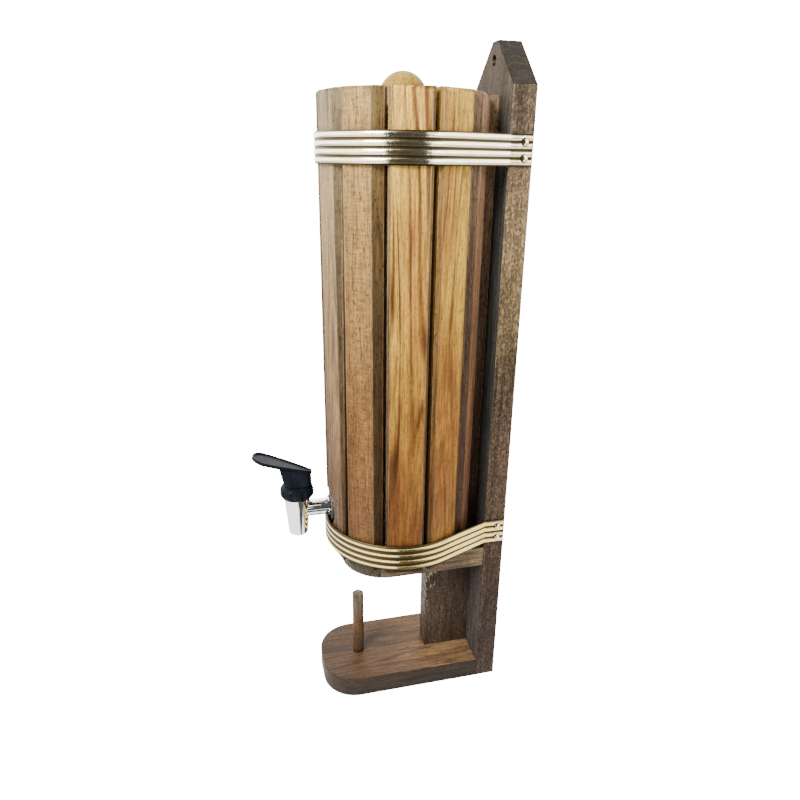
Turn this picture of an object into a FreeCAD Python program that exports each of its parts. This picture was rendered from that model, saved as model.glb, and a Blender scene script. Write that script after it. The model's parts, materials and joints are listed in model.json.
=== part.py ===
import FreeCAD
import Part
import Sketcher
import os
import re

# Small upright cask with a lever tap, strapped to a tall back board, for pouring liquor.
# Millimetres. X to the right seen from the front, Y to the rear, Z up.
# The origin lies on the table, on the upright axis of the cask.

doc = FreeCAD.newDocument("cask_dispenser")
sheet = doc.addObject("Spreadsheet::Sheet", "sizes")

SIZES = [
    ("board_w", "72", "width of back board, base and shelf"),
    ("board_t", "17", "thickness of back board"),
    ("board_top", "500", "height of back board"),
    ("head_rise", "29", "height of the sloped head"),
    ("head_flat", "10", "flat width on top of the head"),
    ("hang_r", "3.5", "radius of the hanging hole"),
    ("hang_z", "488", "height of the hanging hole"),
    ("rear_y", "80", "back face of the board behind the cask axis"),
    ("plank_t", "17", "thickness of base plate and post"),
    ("base_len", "129", "length of the base plate in front of the board"),
    ("base_corner", "28", "corner rounding of the base plate"),
    ("post_d", "39", "depth of the post"),
    ("shelf_z", "113", "underside of the shelf"),
    ("shelf_t", "18", "thickness of the shelf"),
    ("shelf_len", "110", "length of the shelf"),
    ("shelf_corner", "35", "corner rounding of the shelf"),
    ("edge_soft", "1.2", "softened edges of the planks"),
    ("peg_r", "4.75", "radius of the peg"),
    ("peg_y", "-34", "peg position"),
    ("peg_top", "77", "height of the peg's tip"),
    ("peg_sunk", "10", "depth of the peg in the base"),
    ("snug", "0.05", "radial room of a glued or turning fit"),
    ("cask_top", "466", "top of the staves"),
    ("stave_count", "11", "staves round the cask"),
    ("face_r", "56.5", "distance of a stave's face from the axis"),
    ("stave_w", "28.4", "width of a stave"),
    ("stave_back_w", "23.4", "width of a stave on its inner side"),
    ("stave_bevel", "3", "usual bevel along a stave's long edges"),
    ("stave_end", "2.2", "rounding of a stave's top end"),
    ("core_r", "43.2", "radius of heads and tank"),
    ("core_gap", "0.3", "room between staves and core"),
    ("head_t", "12", "thickness of the two heads"),
    ("head_low", "10", "depth of the top head below the staves"),
    ("tank_wall", "2.2", "wall of the inner tank"),
    ("lid_t", "3", "thickness of the tank's lid"),
    ("neck_r", "14", "outside radius of the filling neck"),
    ("neck_bore", "11", "inside radius of the filling neck"),
    ("neck_up", "2", "neck above the top head"),
    ("hoop_r", "58.0", "inside radius of the hoops"),
    ("hoop_t", "0.9", "sheet thickness of the hoops"),
    ("hoop_tall", "20", "height of the hoops"),
    ("bead_up", "0.9", "height of the four beads on a hoop"),
    ("hoop_low", "135", "lower edge of the lower hoop"),
    ("hoop_high", "421.5", "lower edge of the upper hoop"),
    ("hoop_end", "78.5", "end of the hoop straps on the board"),
    ("nail_r", "0.9", "radius of a hoop nail"),
    ("nail_head", "2.2", "radius of a nail head"),
    ("nail_len", "14", "length of a hoop nail"),
    ("nail_y", "73", "nails behind the cask axis"),
    ("screw_r", "2", "radius of a wood screw"),
    ("screw_head", "4", "radius of a countersunk head"),
    ("screw_fit", "0.1", "radial room round a wood screw"),
    ("screw_x", "22", "side screws off the middle"),
    ("tap_y", "-81.5", "upright axis of the tap"),
    ("tap_z", "164", "level of the tap's pipe"),
    ("pipe_r", "6.5", "radius of the pipe"),
    ("pipe_bore", "3.5", "bore of the pipe"),
    ("pipe_end", "-31", "inner end of the pipe"),
    ("tap_hole", "6.9", "radius of the tap hole"),
    ("recess_r", "15", "radius of the flat recess for the washer"),
    ("recess_y", "53.5", "floor of the recess from the axis"),
    ("body_r", "9.9", "radius of the tap body at its top"),
    ("spout_r", "7.6", "radius of the tap body at its mouth"),
    ("spout_z", "143.2", "mouth of the tap"),
    ("seat_z", "153", "valve seat"),
    ("body_top", "180", "top of the tap body"),
    ("chamber_r", "5", "radius of the valve chamber"),
    ("outlet_r", "3.2", "radius of the outlet"),
    ("skirt_r", "13.1", "radius of the bonnet's scalloped skirt"),
    ("skirt_z", "175.8", "lower edge of the skirt"),
    ("roof_z", "186", "top of the bonnet"),
    ("pivot_y", "-86.7", "lever pivot"),
    ("pivot_z", "193", "height of the lever pivot"),
    ("pin_r", "1", "radius of both lever pins"),
    ("lug_w", "5.6", "width of the pivot lug"),
    ("lug_r", "2.2", "half depth of the pivot lug"),
    ("stem_r", "2", "radius of the valve stem"),
    ("hood_w", "18", "width of the lever's hood"),
    ("hood_slot", "8.8", "width of the hollow under the hood"),
    ("pin_in", "6.2", "how far a lever pin reaches to the right"),
    ("hood_back", "-70", "rear of the lever's hood"),
    ("lever_w", "20", "width of the lever's paddle"),
    ("lever_len", "46.6", "length of the paddle along its slope"),
    ("lever_t", "2.6", "thickness of the paddle"),
    ("lever_tilt", "21", "slope of the paddle"),
    ("lever_z", "197", "height of the paddle above the rear of the hood"),
    ("washer_r", "11", "radius of the outer washer"),
    ("flange_r", "8.6", "radius of the pipe's flange"),
    ("nut_r", "11", "corner radius of the lock nut"),
    ("stopper_r", "14.5", "radius of the stopper's grip"),
    ("stopper_top", "479.5", "top of the stopper"),
    ("grip_top", "470.5", "where the stopper's dome starts"),
    ("plug_r", "10.3", "radius of the stopper's plug"),
    ("plug_z", "437", "lower end of the plug"),
    ("ring_r", "10.95", "outside radius of the plug's seal rings"),
    ("ring_wire", "1.2", "section radius of a seal ring"),
]

# Lengths that follow from the sheet, written once.
DERIVED = {
    "board_y": "(rear_y - board_t)",
    "cask_z": "(shelf_z + shelf_t)",
    "pitch": "(360 / stave_count)",
    "inner_r": "(core_r + core_gap)",
    "tank_z": "(shelf_z + shelf_t + head_t)",
    "tank_top": "(cask_top - head_low - head_t)",
    "neck_top": "(cask_top - head_low + neck_up)",
    "pilot_r": "(screw_r + screw_fit)",
}

NAMES = [row[0] for row in SIZES]
for row, (alias, value, note) in enumerate(SIZES, start=1):
    sheet.set("A%d" % row, note)
    sheet.set("B%d" % row, value)
    sheet.setAlias("B%d" % row, alias)
doc.recompute()


def ref(text):
    """Turn a formula in plain names into one that reads the sheet."""
    def swap(found):
        word = found.group()
        if word in DERIVED:
            return ref(DERIVED[word])
        return "sizes." + word if word in NAMES else word
    return re.sub(r"[a-z][a-z_0-9]*", swap, str(text))


def number(text):
    """Present value of a formula in plain names."""
    value = sheet.evalExpression(ref(text))
    return float(getattr(value, "Value", value))


def new_body(label):
    body = doc.addObject("PartDesign::Body", label)
    body.Label = label
    return body


def new_sketch(body, plane, offset=None):
    """Empty sketch on one of the body's origin planes, moved along the plane's normal."""
    sketch = body.newObject("Sketcher::SketchObject", body.Name + "_sketch")
    origin = [item for item in body.Origin.OriginFeatures if item.Role == plane][0]
    sketch.AttachmentSupport = [(origin, "")]
    sketch.MapMode = "FlatFace"
    if offset is not None:
        sketch.setExpression("AttachmentOffset.Base.z", ref(offset))
    return sketch


def hold(sketch, kind, geometry, end, text):
    """Hold one coordinate of a point at a formula."""
    rule = Sketcher.Constraint(kind, -1, 1, geometry, end, number(text))
    index = sketch.addConstraint(rule)
    sketch.setExpression("Constraints[%d]" % index, ref(text))


def tie(sketch, geometry, end, x, y):
    """Hold one point of a sketch at two formulas."""
    hold(sketch, "DistanceX", geometry, end, x)
    hold(sketch, "DistanceY", geometry, end, y)


def hold_radius(sketch, geometry, radius):
    index = sketch.addConstraint(Sketcher.Constraint("Radius", geometry, number(radius)))
    sketch.setExpression("Constraints[%d]" % index, ref(radius))


def path(sketch, points, closed=True):
    """Chain of lines; a point with a third entry starts an arc of that radius that bulges to its right."""
    last = len(points) if closed else len(points) - 1
    for index in range(last):
        start = points[index]
        end = points[(index + 1) % len(points)]
        a = FreeCAD.Vector(number(start[0]), number(start[1]), 0)
        b = FreeCAD.Vector(number(end[0]), number(end[1]), 0)
        if len(start) == 2:
            geometry = sketch.addGeometry(Part.LineSegment(a, b), False)
        else:
            radius = number(start[2])
            half = (b - a).Length / 2
            right = FreeCAD.Vector(b.y - a.y, a.x - b.x, 0).normalize()
            sag = radius - max(radius * radius - half * half, 0) ** 0.5
            geometry = sketch.addGeometry(Part.Arc(a, (a + b) * 0.5 + right * sag, b), False)
            if radius > half + 0.001:
                hold_radius(sketch, geometry, start[2])
            elif abs(a.y - b.y) < 0.001:
                hold(sketch, "DistanceY", geometry, 3, start[1])
            else:
                hold(sketch, "DistanceX", geometry, 3, start[0])
        ends = (1, 2)
        if (sketch.getPoint(geometry, 1) - a).Length > (sketch.getPoint(geometry, 2) - a).Length:
            ends = (2, 1)
        tie(sketch, geometry, ends[0], start[0], start[1])
        tie(sketch, geometry, ends[1], end[0], end[1])


def circle(sketch, x, y, radius):
    centre = FreeCAD.Vector(number(x), number(y), 0)
    ring = Part.Circle(centre, FreeCAD.Vector(0, 0, 1), number(radius))
    geometry = sketch.addGeometry(ring, False)
    tie(sketch, geometry, 3, x, y)
    hold_radius(sketch, geometry, radius)


def rectangle(sketch, x0, y0, x1, y1):
    path(sketch, [(x0, y0), (x1, y0), (x1, y1), (x0, y1)])


def pad(body, sketch, length, back=False, middle=False):
    feature = body.newObject("PartDesign::Pad", body.Name + "_pad")
    feature.Profile = sketch
    feature.setExpression("Length", ref(length))
    feature.Reversed = back
    if middle:
        feature.SideType = "Symmetric"
    doc.recompute()
    return feature


CUTS = []


def pocket(body, sketch, length=None, along=True):
    """Cut along the sketch's normal, or right through both ways when no length is given."""
    feature = body.newObject("PartDesign::Pocket", body.Name + "_pocket")
    feature.Profile = sketch
    if length is None:
        feature.Type = "ThroughAll"
        feature.SideType = "Symmetric"
    else:
        feature.setExpression("Length", ref(length))
        feature.Reversed = along
    CUTS.append(feature)
    doc.recompute()
    return feature


def turn(body, sketch, kind="Revolution"):
    """Turn a profile round the sketch's upright axis, adding or cutting."""
    feature = body.newObject("PartDesign::" + kind, body.Name + "_turned")
    feature.Profile = sketch
    feature.ReferenceAxis = (sketch, ["V_Axis"])
    feature.Angle = 360
    if kind == "Groove":
        CUTS.append(feature)
    doc.recompute()
    return feature


def dress(body, kind, size, chosen):
    """Fillet or chamfer the edges of the body's tip that the test picks."""
    doc.recompute()
    base = body.Tip
    names = []
    for index, edge in enumerate(base.Shape.Edges, start=1):
        box = edge.BoundBox
        if chosen(edge, box):
            names.append("Edge%d" % index)
    if not names:
        raise RuntimeError("no edge to dress on " + body.Label)
    feature = body.newObject("PartDesign::" + kind, body.Name + "_" + kind.lower())
    feature.Base = (base, names)
    feature.setExpression("Radius" if kind == "Fillet" else "Size", ref(size))
    doc.recompute()
    return feature


def near(value, text, room=0.01):
    return abs(value - number(text)) < room


def upright(box):
    return box.ZLength > 1 and box.XLength < 0.01 and box.YLength < 0.01


def level(box, height):
    return box.ZLength < 0.01 and near(box.ZMin, height)


def round_at(edge, radius):
    return hasattr(edge.Curve, "Radius") and near(edge.Curve.Radius, radius)


def place(item, x="0", y="0", z="0", axis=None, angle="0"):
    """Bind an object's placement to formulas."""
    if axis is not None:
        item.Placement = FreeCAD.Placement(FreeCAD.Vector(), FreeCAD.Rotation(axis, 1))
        item.setExpression("Placement.Rotation.Angle", ref(angle))
    item.setExpression("Placement.Base.x", ref(x))
    item.setExpression("Placement.Base.y", ref(y))
    item.setExpression("Placement.Base.z", ref(z))


X_AXIS = FreeCAD.Vector(1, 0, 0)
Z_AXIS = FreeCAD.Vector(0, 0, 1)

SIDE_SCREWS = [("-screw_x", "plank_t / 2"), ("screw_x", "plank_t / 2"),
               ("-screw_x", "shelf_z + shelf_t / 2"), ("screw_x", "shelf_z + shelf_t / 2")]
POST_SCREWS = [("0", "45"), ("0", "85")]
CASK_SCREWS = [("0", "200"), ("0", "395")]
NAIL_Z = [(low, step) for low in ("hoop_low", "hoop_high") for step in ("5", "15")]

# Back board: a plank with a pointed head, a hanging hole and countersunk screw holes.
back_board = new_body("back_board")
sketch = new_sketch(back_board, "XZ_Plane", "-rear_y")
path(sketch, [("-board_w / 2", "0"), ("board_w / 2", "0"),
              ("board_w / 2", "board_top - head_rise"), ("head_flat / 2", "board_top"),
              ("-head_flat / 2", "board_top"), ("-board_w / 2", "board_top - head_rise")])
pad(back_board, sketch, "board_t")
dress(back_board, "Chamfer", "edge_soft / 2",
      lambda edge, box: near(box.YMin, "board_y") and near(box.YMax, "board_y") and box.ZMax > 1)
sketch = new_sketch(back_board, "XZ_Plane", "-rear_y")
circle(sketch, "0", "hang_z", "hang_r")
pocket(back_board, sketch)
sketch = new_sketch(back_board, "XZ_Plane", "-rear_y")
for x, z in SIDE_SCREWS + POST_SCREWS + CASK_SCREWS:
    circle(sketch, x, z, "pilot_r")
pocket(back_board, sketch)
dress(back_board, "Chamfer", "screw_head - screw_r",
      lambda edge, box: round_at(edge, "pilot_r") and near(box.YMin, "rear_y"))
for side in ("", "-"):
    sketch = new_sketch(back_board, "YZ_Plane", side + "board_w / 2")
    for low, step in NAIL_Z:
        circle(sketch, "nail_y", low + " + " + step, "nail_r + snug")
    pocket(back_board, sketch, "nail_len + 1", along=(side == "-"))

# Base plate: a plank with two strongly rounded front corners, a peg hole and screw holes.
base_plate = new_body("base_plate")
sketch = new_sketch(base_plate, "XY_Plane")
rectangle(sketch, "-board_w / 2", "board_y - base_len", "board_w / 2", "board_y")
pad(base_plate, sketch, "plank_t")
dress(base_plate, "Fillet", "base_corner",
      lambda edge, box: upright(box) and near(box.YMin, "board_y - base_len"))
dress(base_plate, "Fillet", "edge_soft",
      lambda edge, box: level(box, "plank_t") and not near(box.YMin, "board_y"))
sketch = new_sketch(base_plate, "XY_Plane", "plank_t")
circle(sketch, "0", "peg_y", "peg_r + snug")
pocket(base_plate, sketch, "peg_sunk + 0.2", along=False)
sketch = new_sketch(base_plate, "XY_Plane")
circle(sketch, "0", "board_y - post_d / 2", "pilot_r")
pocket(base_plate, sketch)
dress(base_plate, "Chamfer", "screw_head - screw_r",
      lambda edge, box: round_at(edge, "pilot_r") and level(box, "0"))
sketch = new_sketch(base_plate, "XZ_Plane", "-board_y")
for x, z in SIDE_SCREWS[:2]:
    circle(sketch, x, z, "pilot_r")
pocket(base_plate, sketch, "28")

# Post: the plank on edge that carries the shelf.
support_post = new_body("support_post")
sketch = new_sketch(support_post, "XY_Plane", "plank_t")
rectangle(sketch, "-plank_t / 2", "board_y - post_d", "plank_t / 2", "board_y")
pad(support_post, sketch, "shelf_z - plank_t")
dress(support_post, "Chamfer", "edge_soft / 2",
      lambda edge, box: upright(box) and near(box.YMin, "board_y - post_d"))
sketch = new_sketch(support_post, "XY_Plane", "plank_t")
circle(sketch, "0", "board_y - post_d / 2", "pilot_r")
pocket(support_post, sketch, "18")
sketch = new_sketch(support_post, "XY_Plane", "shelf_z")
circle(sketch, "0", "board_y - post_d / 2", "pilot_r")
pocket(support_post, sketch, "18", along=False)
sketch = new_sketch(support_post, "XZ_Plane", "-board_y")
for x, z in POST_SCREWS:
    circle(sketch, x, z, "pilot_r")
pocket(support_post, sketch, "28")

# Shelf under the cask: a board with a nearly half-round front.
cask_shelf = new_body("cask_shelf")
sketch = new_sketch(cask_shelf, "XY_Plane", "shelf_z")
rectangle(sketch, "-board_w / 2", "board_y - shelf_len", "board_w / 2", "board_y")
pad(cask_shelf, sketch, "shelf_t")
dress(cask_shelf, "Fillet", "shelf_corner",
      lambda edge, box: upright(box) and near(box.YMin, "board_y - shelf_len"))
dress(cask_shelf, "Fillet", "edge_soft",
      lambda edge, box: box.ZLength < 0.01 and not near(box.YMin, "board_y"))
sketch = new_sketch(cask_shelf, "XY_Plane", "shelf_z")
circle(sketch, "0", "board_y - post_d / 2", "pilot_r")
pocket(cask_shelf, sketch)
dress(cask_shelf, "Chamfer", "screw_head - screw_r",
      lambda edge, box: round_at(edge, "pilot_r") and level(box, "cask_z"))
sketch = new_sketch(cask_shelf, "XZ_Plane", "-board_y")
for x, z in SIDE_SCREWS[2:]:
    circle(sketch, x, z, "pilot_r")
pocket(cask_shelf, sketch, "28")

# Peg that stands upright in the base, with a rounded tip.
base_peg = new_body("base_peg")
sketch = new_sketch(base_peg, "XZ_Plane")
path(sketch, [("0", "plank_t - peg_sunk"), ("peg_r - 0.6", "plank_t - peg_sunk"),
              ("peg_r", "plank_t - peg_sunk + 0.6"), ("peg_r", "peg_top - 1", "1"),
              ("peg_r - 1", "peg_top"), ("0", "peg_top")])
turn(base_peg, sketch)
place(base_peg, y="peg_y")

# Ten staves round the cask, numbered from the front to the rear on each side. Their
# outer faces lie on an eleven-sided ring with open joints. The long edges are planed off
# by hand, so each bevel has its own width, and some get wider from one end to the other.
# For each stave: how much wider than usual its front bevel is at the lower and at the
# upper end, and then the same for its rear bevel.
PLANED = {("right", 1): (1.0, 1.0, 0.5, 1.6), ("left", 1): (1.0, 1.1, 1.2, 0.8),
          ("right", 2): (0.5, 0.5, 1.8, 2.3), ("left", 2): (0.6, 0.8, 1.5, 1.9),
          ("right", 3): (0.5, 0.5, 0.5, 0.6), ("left", 3): (0.7, 0.5, 0.9, 1.3),
          ("right", 4): (0.7, 0.8, 1.0, 1.0), ("left", 4): (0.8, 1.2, 0.6, 0.6),
          ("right", 5): (1.5, 1.5, 1.0, 1.0), ("left", 5): (1.3, 1.0, 1.0, 1.0)}


def plane_edge(stave, side, low, high):
    """Take a long edge off a stave that faces the front, from one width below to another on top."""
    edge, room = side + "stave_w / 2", "4"
    outward = side + "1"
    sketch = new_sketch(stave, "XY_Plane", "cask_z")
    path(sketch, [("%s - %s * (%s + %s)" % (edge, outward, low, room), "-face_r - " + room),
                  ("%s + %s * %s" % (edge, outward, room), "-face_r - " + room),
                  ("%s + %s * %s" % (edge, outward, room), "-face_r + %s + %s" % (low, room))])
    cut = pocket(stave, sketch, "cask_top - cask_z")
    cut.UseCustomVector = True
    cut.setExpression("Direction.x", ref("%s * (%s - %s) / 2" % (outward, low, high)))
    cut.setExpression("Direction.y", ref("(%s - %s) / 2" % (high, low)))
    cut.setExpression("Direction.z", ref("cask_top - cask_z"))
    cut.AlongSketchNormal = True
    cut.Reversed = False
    doc.recompute()


for number_from_front in (1, 2, 3, 4, 5):
    for side, sign in (("right", 1), ("left", -1)):
        stave = new_body("stave_%s_%d" % (side, number_from_front))
        turned = "%s * pitch" % (sign * (number_from_front - 0.5))
        planed = ["%s * stave_bevel" % factor for factor in PLANED[side, number_from_front]]
        sketch = new_sketch(stave, "XY_Plane", "cask_z")
        path(sketch, [("-stave_w / 2", "-face_r"), ("stave_w / 2", "-face_r"),
                      ("stave_w / 2", "-face_r + stave_bevel"), ("stave_back_w / 2", "-inner_r"),
                      ("-stave_back_w / 2", "-inner_r"), ("-stave_w / 2", "-face_r + stave_bevel")])
        pad(stave, sketch, "cask_top - cask_z")
        dress(stave, "Fillet", "stave_end",
              lambda edge, box: level(box, "cask_top") and near(box.YMax, "-face_r"))
        plane_edge(stave, "-" if sign > 0 else "", planed[0], planed[1])
        plane_edge(stave, "" if sign > 0 else "-", planed[2], planed[3])
        # The joint at the front carries the tap, in a round recess and a hole.
        if number_from_front == 1:
            for offset, radius, depth in (("0", "tap_hole", "face_r + 5"),
                                          ("recess_y", "recess_r", "10")):
                sketch = new_sketch(stave, "XZ_Plane")
                sketch.AttachmentOffset = FreeCAD.Placement(
                    FreeCAD.Vector(), FreeCAD.Rotation(FreeCAD.Vector(0, -sign, 0), 1))
                sketch.setExpression("AttachmentOffset.Rotation.Angle", ref("pitch / 2"))
                sketch.setExpression("AttachmentOffset.Base.x",
                                     ref("%d * sin(pitch / 2) * %s" % (-sign, offset)))
                sketch.setExpression("AttachmentOffset.Base.z",
                                     ref("cos(pitch / 2) * " + offset))
                circle(sketch, "0", "tap_z", radius)
                pocket(stave, sketch, depth)
        place(stave, axis=Z_AXIS, angle=turned)

# Rear stave: thicker than the others, with a flat back screwed to the board.
stave_rear = new_body("stave_rear")
sketch = new_sketch(stave_rear, "XY_Plane", "cask_z")
path(sketch, [("-stave_back_w / 2", "inner_r"), ("stave_back_w / 2", "inner_r"),
              ("stave_w / 2", "face_r - stave_bevel"), ("stave_w / 2", "board_y"),
              ("-stave_w / 2", "board_y"), ("-stave_w / 2", "face_r - stave_bevel")])
pad(stave_rear, sketch, "cask_top - cask_z")
sketch = new_sketch(stave_rear, "XZ_Plane", "-board_y")
for x, z in CASK_SCREWS:
    circle(sketch, x, z, "pilot_r")
pocket(stave_rear, sketch, "14")

# The two wooden heads inside the ring of staves.
bottom_head = new_body("bottom_head")
sketch = new_sketch(bottom_head, "XY_Plane", "cask_z")
circle(sketch, "0", "0", "core_r")
pad(bottom_head, sketch, "head_t")

top_head = new_body("top_head")
sketch = new_sketch(top_head, "XY_Plane", "tank_top")
circle(sketch, "0", "0", "core_r")
circle(sketch, "0", "0", "neck_r + core_gap")
pad(top_head, sketch, "head_t")
dress(top_head, "Fillet", "edge_soft",
      lambda edge, box: level(box, "tank_top + head_t") and round_at(edge, "core_r"))

# Inner tank: a thin drum with a hole for the tap's pipe.
inner_tank = new_body("inner_tank")
sketch = new_sketch(inner_tank, "XZ_Plane")
path(sketch, [("0", "tank_z"), ("core_r", "tank_z"), ("core_r", "tank_top - lid_t"),
              ("core_r - tank_wall", "tank_top - lid_t"),
              ("core_r - tank_wall", "tank_z + tank_wall"), ("0", "tank_z + tank_wall")])
turn(inner_tank, sketch)
sketch = new_sketch(inner_tank, "XZ_Plane")
circle(sketch, "0", "tap_z", "pipe_r + core_gap")
pocket(inner_tank, sketch, "core_r + 5")

# Lid on the tank: a disc with a step that centres it in the drum, and the filling neck.
tank_lid = new_body("tank_lid")
sketch = new_sketch(tank_lid, "XZ_Plane")
step_r = "core_r - tank_wall - snug"
path(sketch, [("neck_bore", "tank_top - lid_t - 2"), (step_r, "tank_top - lid_t - 2"),
              (step_r, "tank_top - lid_t"), ("core_r", "tank_top - lid_t"), ("core_r", "tank_top"),
              ("neck_r", "tank_top"), ("neck_r", "neck_top"), ("neck_bore", "neck_top")])
turn(tank_lid, sketch)

# Two sheet hoops with four beads. Each goes round the staves, runs straight to the
# board's front corners, bends and ends flat on the board's sides.
reach = "sqrt(board_w * board_w / 4 + board_y * board_y)"
touch = "(atan2(board_w / 2; board_y) + acos(hoop_r / %s))" % reach
for label, low in (("lower_hoop", "hoop_low"), ("upper_hoop", "hoop_high")):
    hoop = new_body(label)
    spine = new_sketch(hoop, "XY_Plane", low)
    right = ("hoop_r * sin(%s)" % touch, "hoop_r * cos(%s)" % touch)
    left = ("-" + right[0], right[1])
    path(spine, [("board_w / 2", "hoop_end"), ("board_w / 2", "board_y"),
                 (right[0], right[1])], closed=False)
    path(spine, [(left[0], left[1]), ("-board_w / 2", "board_y"),
                 ("-board_w / 2", "hoop_end")], closed=False)
    path(spine, [(left[0], left[1], "hoop_r"), ("0", "-hoop_r")], closed=False)
    path(spine, [("0", "-hoop_r", "hoop_r"), (right[0], right[1])], closed=False)
    section = new_sketch(hoop, "XZ_Plane", "-hoop_end")
    inner, outer = "board_w / 2", "board_w / 2 + hoop_t"
    crest = outer + " + bead_up"
    corners = [(inner, low + " + hoop_tall"), (inner, low), (outer, low)]
    for bead in range(4):
        start = "%s + hoop_tall * %s" % (low, bead * 0.25)
        corners += [(outer, start + " + hoop_tall * 0.03"), (crest, start + " + hoop_tall * 0.08"),
                    (crest, start + " + hoop_tall * 0.17"), (outer, start + " + hoop_tall * 0.22")]
    corners += [(outer, low + " + hoop_tall")]
    path(section, corners)
    sweep = hoop.newObject("PartDesign::AdditivePipe", label + "_sweep")
    sweep.Profile = section
    sweep.Spine = (spine, ["Edge%d" % edge for edge in range(1, 7)])
    sweep.Transition = "Right corner"
    doc.recompute()
    sketch = new_sketch(hoop, "YZ_Plane")
    for step in ("5", "15"):
        circle(sketch, "nail_y", low + " + " + step, "nail_r + snug")
    pocket(hoop, sketch)


def ring(body, plane, offset, y, outer, inner, length):
    """Flat ring padded along the plane's normal."""
    sketch = new_sketch(body, plane, offset)
    circle(sketch, "0", y, outer)
    circle(sketch, "0", y, inner)
    return pad(body, sketch, length)


def group(label, pieces):
    """One node made of several equal pieces."""
    bundle = doc.addObject("Part::Compound", label)
    bundle.Label = label
    bundle.Links = pieces
    return bundle


def wood_screw(name, length):
    """Countersunk screw, head flush with the local XY plane."""
    screw = new_body(name)
    sketch = new_sketch(screw, "XZ_Plane")
    path(sketch, [("0", "0"), ("0", "-" + length), ("screw_r", "4 - " + length),
                  ("screw_r", "screw_r - screw_head"), ("screw_head", "0")])
    turn(screw, sketch)
    return screw


# Hoop nails with coned heads that sit on the beads, two at each end of each hoop.
nails = []
for side, sign in (("right", ""), ("left", "-")):
    for low, step in NAIL_Z:
        nail = new_body("nail_%s_%d" % (side, len(nails) + 1))
        sketch = new_sketch(nail, "XZ_Plane")
        path(sketch, [("0", "-nail_len"), ("nail_r", "2 - nail_len"), ("nail_r", "0"),
                      ("nail_head", "0"), ("nail_head", "0.3"), ("0", "1.1")])
        turn(nail, sketch)
        place(nail, sign + "(board_w / 2 + hoop_t + bead_up)", "nail_y", low + " + " + step,
              FreeCAD.Vector(0, -1 if sign else 1, 0), "90")
        nails.append(nail)
group("hoop_nails", nails)

# Wood screws: from the rear into base, shelf and post, into the cask, and up and down the post.
rear_screws = []
for x, z in SIDE_SCREWS + POST_SCREWS:
    screw = wood_screw("rear_screw_%d" % (len(rear_screws) + 1), "42")
    place(screw, x, "rear_y", z, X_AXIS, "-90")
    rear_screws.append(screw)
group("board_screws", rear_screws)
held = []
for x, z in CASK_SCREWS:
    screw = wood_screw("held_screw_%d" % (len(held) + 1), "29")
    place(screw, x, "rear_y", z, X_AXIS, "-90")
    held.append(screw)
group("cask_screws", held)
foot_screw = wood_screw("foot_screw", "34")
place(foot_screw, "0", "board_y - post_d / 2", "0", X_AXIS, "180")
shelf_screw = wood_screw("shelf_screw", "34")
place(shelf_screw, "0", "board_y - post_d / 2", "cask_z")
group("post_screws", [foot_screw, shelf_screw])

# Stopper: a turned knob with a flat dome and a grooved plug that hangs in the neck.
RING_Z = ("plug_z + 5", "plug_z + 12")
stopper = new_body("stopper")
sketch = new_sketch(stopper, "XZ_Plane")
dome = "(stopper_r * stopper_r + (stopper_top - grip_top) * (stopper_top - grip_top))" \
       " / (2 * (stopper_top - grip_top))"
path(sketch, [("0", "plug_z"), ("plug_r - 1", "plug_z"), ("plug_r", "plug_z + 1"),
              ("plug_r", "neck_top"), ("stopper_r - 0.8", "neck_top"),
              ("stopper_r", "neck_top + 0.8"), ("stopper_r", "grip_top", dome),
              ("0", "stopper_top")])
turn(stopper, sketch)
sketch = new_sketch(stopper, "XZ_Plane")
for height in RING_Z:
    rectangle(sketch, "ring_r - 2 * ring_wire - snug", height + " - ring_wire - snug",
              "plug_r + 1", height + " + ring_wire + snug")
turn(stopper, sketch, "Groove")

rings = []
for index, height in enumerate(RING_Z, start=1):
    seal = new_body("plug_ring_%d" % index)
    sketch = new_sketch(seal, "XZ_Plane")
    flat = "ring_wire * tan(22.5)"
    middle = "ring_r - ring_wire"
    path(sketch, [(middle + " + " + flat, "-ring_wire"), ("ring_r", "-" + flat), ("ring_r", flat),
                  (middle + " + " + flat, "ring_wire"), (middle + " - " + flat, "ring_wire"),
                  (middle + " - ring_wire", flat), (middle + " - ring_wire", "-" + flat),
                  (middle + " - " + flat, "-ring_wire")])
    turn(seal, sketch)
    place(seal, z=height)
    rings.append(seal)
group("stopper_rings", rings)

# Tap body: a tapering upright barrel open at its mouth, with a level pipe to the rear.
tap_body = new_body("tap_body")
sketch = new_sketch(tap_body, "XZ_Plane")
path(sketch, [("0", "spout_z"), ("spout_r - 2", "spout_z", "2"), ("spout_r", "spout_z + 2"),
              ("body_r", "body_top - 7"), ("body_r", "body_top"), ("0", "body_top")])
turn(tap_body, sketch)
for radius, start, length in (("pipe_r", "0", "pipe_end - tap_y"),
                              ("flange_r", "-recess_y - 3.7 - tap_y", "1.7")):
    sketch = new_sketch(tap_body, "XZ_Plane", "-(" + start + ")")
    circle(sketch, "0", "tap_z", radius)
    pad(tap_body, sketch, length, back=True)
sketch = new_sketch(tap_body, "XZ_Plane")
path(sketch, [("0", "spout_z - 1"), ("outlet_r + 1.2", "spout_z - 1"),
              ("outlet_r + 1.2", "spout_z"), ("outlet_r", "spout_z + 4"), ("outlet_r", "seat_z"),
              ("chamber_r", "seat_z"), ("chamber_r", "body_top + 1"), ("0", "body_top + 1")])
turn(tap_body, sketch, "Groove")
sketch = new_sketch(tap_body, "XZ_Plane")
circle(sketch, "0", "tap_z", "pipe_bore")
pocket(tap_body, sketch, "pipe_end - tap_y + 1", along=False)
place(tap_body, y="tap_y")

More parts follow.
